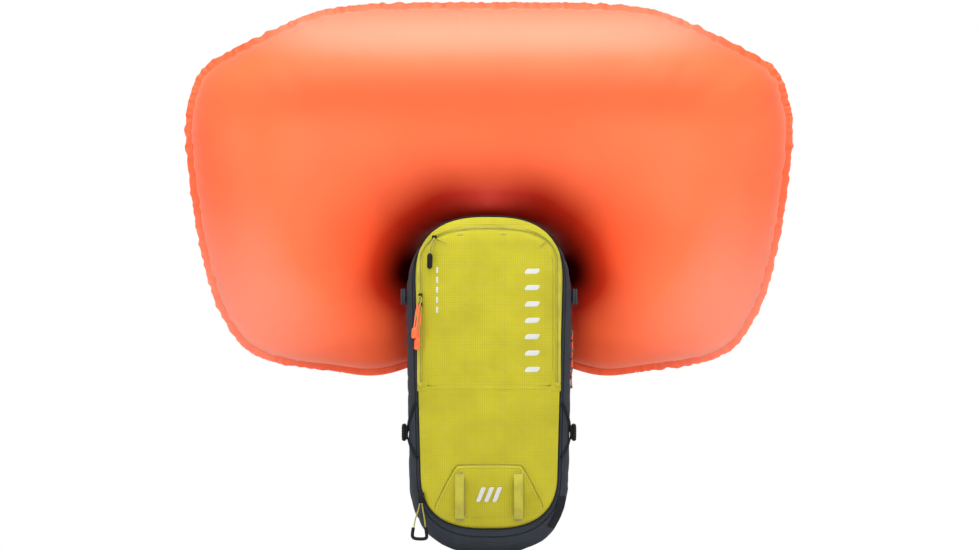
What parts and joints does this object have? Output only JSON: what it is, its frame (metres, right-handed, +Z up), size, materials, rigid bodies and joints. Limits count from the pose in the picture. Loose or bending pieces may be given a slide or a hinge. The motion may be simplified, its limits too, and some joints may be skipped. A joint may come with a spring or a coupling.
{
  "type": "avalanche airbag backpack",
  "caption": "Touring backpack with its horseshoe airbag inflated, opening front door, zips, harness and an electric blower with check valve.",
  "frame": {"origin": "middle of the pack's width and depth, on the floor under its flat base", "axes": "+Z up the pack, -Y out of the lime face, +Y towards the wearer, +X to the right seen from the front"},
  "size_m": [1.0964, 0.4366, 0.971],
  "materials": {
    "lime_ripstop": "satin",
    "slate_ripstop": "satin",
    "airbag_nylon": "satin",
    "black_webbing": "matte",
    "padding": "matte",
    "coral_cord": "matte",
    "black_plastic": "matte",
    "slate_plastic": "matte",
    "coral_plastic": "matte",
    "white_plastic": "matte",
    "blower_plastic": "matte",
    "board": "gloss",
    "cell_wrap": "gloss",
    "aluminium": "satin",
    "steel": "satin"
  },
  "bodies": {
    "pack": {"front_panel": "lime_ripstop", "lower_pocket": "lime_ripstop", "tool_loops": "lime_ripstop", "pack_shell": "slate_ripstop", "airbag_front": "airbag_nylon", "airbag_back": "airbag_nylon", "main_zip_tape": "black_webbing", "top_zip_tape": "black_webbing", "side_straps_upper": "black_webbing", "side_straps_lower": "black_webbing", "carry_handle": "black_webbing", "bay_flaps": "black_webbing", "back_panel": "padding", "back_pads": "padding", "lumbar_pad": "padding", "shoulder_yoke": "padding", "side_cord": "coral_cord", "lower_buckles": "black_plastic", "upper_buckles": "slate_plastic", "frame_sheet": "white_plastic", "inlet_collar": "blower_plastic", "fan_housing": "blower_plastic", "valve_seat": "blower_plastic", "control_box": "blower_plastic", "control_lid": "blower_plastic", "cradle_plate": "blower_plastic", "control_board": "board", "capacitors": "cell_wrap", "battery_cells": "cell_wrap", "frame_stay": "aluminium", "inlet_grille": "aluminium", "motor": "steel", "cradle_screws": "steel", "collar_clamp": "steel"},
    "door": {"front_door": "lime_ripstop"},
    "zip_upper": {"main_slider_upper": "black_plastic"},
    "zip_upper_pull": {"main_pull_upper": "coral_plastic"},
    "zip_lower": {"main_slider_lower": "black_plastic"},
    "zip_lower_pull": {"main_pull_lower": "coral_plastic"},
    "zip_top": {"top_slider": "black_plastic"},
    "zip_top_pull": {"top_pull": "black_plastic"},
    "corner_leash": {"corner_pull": "black_plastic"},
    "strap_left": {"shoulder_strap_left": "padding", "webbing_left": "black_webbing", "trigger_housing": "black_plastic", "trigger_cable": "black_webbing"},
    "strap_right": {"shoulder_strap_right": "padding", "webbing_right": "black_webbing"},
    "chest_left": {"sternum_left": "black_plastic"},
    "chest_right": {"sternum_right": "black_plastic"},
    "wing_left": {"hip_wing_left": "padding", "hip_buckle_left": "black_plastic"},
    "wing_right": {"hip_wing_right": "padding", "hip_buckle_right": "black_plastic"},
    "fan_wheel": {"impeller": "white_plastic"},
    "valve_disc": {"check_valve": "coral_plastic"},
    "power_key": {"power_button": "coral_plastic"},
    "deflate_key": {"deflation_button": "white_plastic"},
    "trigger": {"trigger_handle": "coral_plastic"}
  },
  "joints": [
    {"name": "door_hinge", "type": "hinge", "parent": "pack", "child": "door", "pos_m": [0, -0.1072, 0.2854], "axis": [1, 0, 0], "range_deg": [0, 100]},
    {"name": "zip_upper_slide", "type": "slide", "parent": "pack", "child": "zip_upper", "axis": [0, 0, 1], "range_m": [0, 0.03]},
    {"name": "zip_lower_slide", "type": "slide", "parent": "pack", "child": "zip_lower", "axis": [0, 0, -1], "range_m": [0, 0.12]},
    {"name": "zip_top_slide", "type": "slide", "parent": "pack", "child": "zip_top", "axis": [0.925, 0, 0.38], "range_m": [0, 0.02]},
    {"name": "zip_upper_pull_swing", "type": "hinge", "parent": "zip_upper", "child": "zip_upper_pull", "pos_m": [-0.118, -0.09495, 0.4427], "axis": [-1, 0, 0], "range_deg": [0, 80]},
    {"name": "zip_lower_pull_swing", "type": "hinge", "parent": "zip_lower", "child": "zip_lower_pull", "pos_m": [-0.118, -0.0951, 0.42704], "axis": [0, 1, 0], "range_deg": [0, 40]},
    {"name": "zip_top_pull_swing", "type": "hinge", "parent": "zip_top", "child": "zip_top_pull", "pos_m": [-0.09398, -0.09702, 0.542], "axis": [-1, 0, 0], "range_deg": [0, 80]},
    {"name": "corner_leash_swing", "type": "hinge", "parent": "pack", "child": "corner_leash", "pos_m": [-0.11684, -0.092, 0.1073], "axis": [-1, 0, 0], "range_deg": [0, 60]},
    {"name": "strap_left_swing", "type": "hinge", "parent": "pack", "child": "strap_left", "pos_m": [-0.058, 0.091, 0.5355], "axis": [1, 0, 0], "range_deg": [0, 20]},
    {"name": "strap_right_swing", "type": "hinge", "parent": "pack", "child": "strap_right", "pos_m": [0.058, 0.091, 0.5355], "axis": [1, 0, 0], "range_deg": [0, 20]},
    {"name": "chest_left_slide", "type": "slide", "parent": "strap_left", "child": "chest_left", "axis": [0, 0, -1], "range_m": [0, 0.012]},
    {"name": "chest_right_slide", "type": "slide", "parent": "strap_right", "child": "chest_right", "axis": [0, 0, -1], "range_m": [0, 0.04]},
    {"name": "wing_left_swing", "type": "hinge", "parent": "pack", "child": "wing_left", "pos_m": [-0.097, 0.095, 0.12], "axis": [0, 0, 1], "range_deg": [0, 30]},
    {"name": "wing_right_swing", "type": "hinge", "parent": "pack", "child": "wing_right", "pos_m": [0.097, 0.095, 0.12], "axis": [0, 0, -1], "range_deg": [0, 30]},
    {"name": "fan_spin", "type": "hinge", "parent": "pack", "child": "fan_wheel", "pos_m": [0, 0.045, 0.49], "axis": [0, 1, 0], "continuous": true},
    {"name": "valve_lift", "type": "slide", "parent": "pack", "child": "valve_disc", "axis": [0, 0, 1], "range_m": [0, 0.008]},
    {"name": "power_press", "type": "slide", "parent": "pack", "child": "power_key", "axis": [0, 1, 0], "range_m": [0, 0.0015], "stiffness_N_per_m": 400},
    {"name": "deflate_press", "type": "slide", "parent": "pack", "child": "deflate_key", "axis": [0, 1, 0], "range_m": [0, 0.0015], "stiffness_N_per_m": 400},
    {"name": "trigger_pull", "type": "slide", "parent": "strap_left", "child": "trigger", "axis": [0, 0, -1], "range_m": [0, 0.02]}
  ]
}
